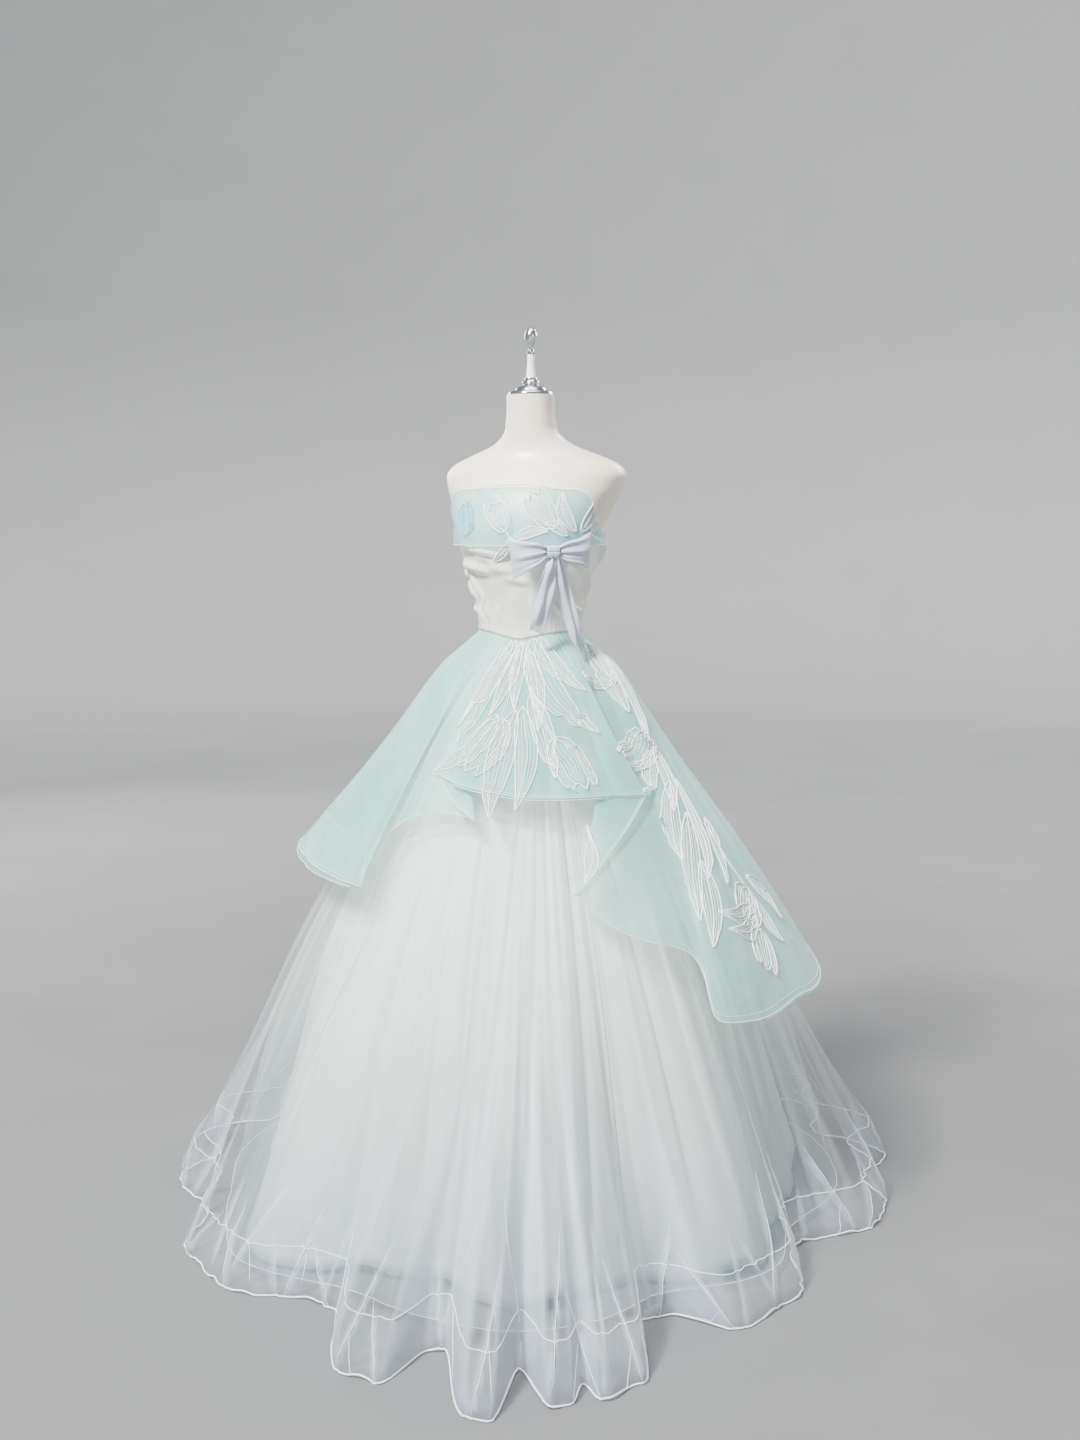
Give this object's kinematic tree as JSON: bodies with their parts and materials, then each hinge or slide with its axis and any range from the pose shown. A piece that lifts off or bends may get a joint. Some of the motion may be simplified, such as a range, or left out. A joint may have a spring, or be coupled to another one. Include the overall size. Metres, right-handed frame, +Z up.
{
  "type": "ball gown on dress form",
  "caption": "Strapless ball gown with a fold-over neckline band, satin bow, draped overskirt and full sheer skirt, on a limbless dress form with a round stand.",
  "frame": {"origin": "centre of the underside of the stand's base, on the floor below the pole", "axes": "+Z up along the pole; -Y towards the front of the gown; +X towards the wearer's left"},
  "size_m": [1.498, 1.8122, 1.7544],
  "materials": {
    "bodice_satin": "satin weave",
    "bow_satin": "satin weave",
    "organza": "sheer crisp organza",
    "tulle": "sheer fine net",
    "lining": "matt",
    "form_shell": "satin",
    "spindle": "satin",
    "chrome": "polished"
  },
  "bodies": {
    "root": {"band_back_left": "organza", "band_back_right": "organza", "band_front": "organza", "bodice_back_left": "bodice_satin", "bodice_back_right": "bodice_satin", "bodice_front": "bodice_satin", "bodice_side_back_left": "bodice_satin", "bodice_side_back_right": "bodice_satin", "bodice_side_front_left": "bodice_satin", "bodice_side_front_right": "bodice_satin", "bow_knot": "bow_satin", "bow_loop_left": "bow_satin", "bow_loop_right": "bow_satin", "bow_tail_left": "bow_satin", "bow_tail_right": "bow_satin", "finial_knob": "chrome", "form_body": "form_shell", "neck_cap": "chrome", "neck_spindle": "spindle", "overskirt_back_left": "organza", "overskirt_back_right": "organza", "overskirt_front": "organza", "overskirt_under_front": "organza", "overskirt_under_left": "organza", "overskirt_under_right": "organza", "skirt_lining_1": "lining", "skirt_lining_2": "lining", "skirt_lining_3": "lining", "skirt_lining_4": "lining", "skirt_lining_5": "lining", "skirt_tulle_1": "tulle", "skirt_tulle_10": "tulle", "skirt_tulle_2": "tulle", "skirt_tulle_3": "tulle", "skirt_tulle_4": "tulle", "skirt_tulle_5": "tulle", "skirt_tulle_6": "tulle", "skirt_tulle_7": "tulle", "skirt_tulle_8": "tulle", "skirt_tulle_9": "tulle", "stand_base": "chrome", "stand_pole": "chrome", "under_tulle_1": "tulle", "under_tulle_2": "tulle", "under_tulle_3": "tulle", "under_tulle_4": "tulle", "under_tulle_5": "tulle"}
  },
  "joints": []
}
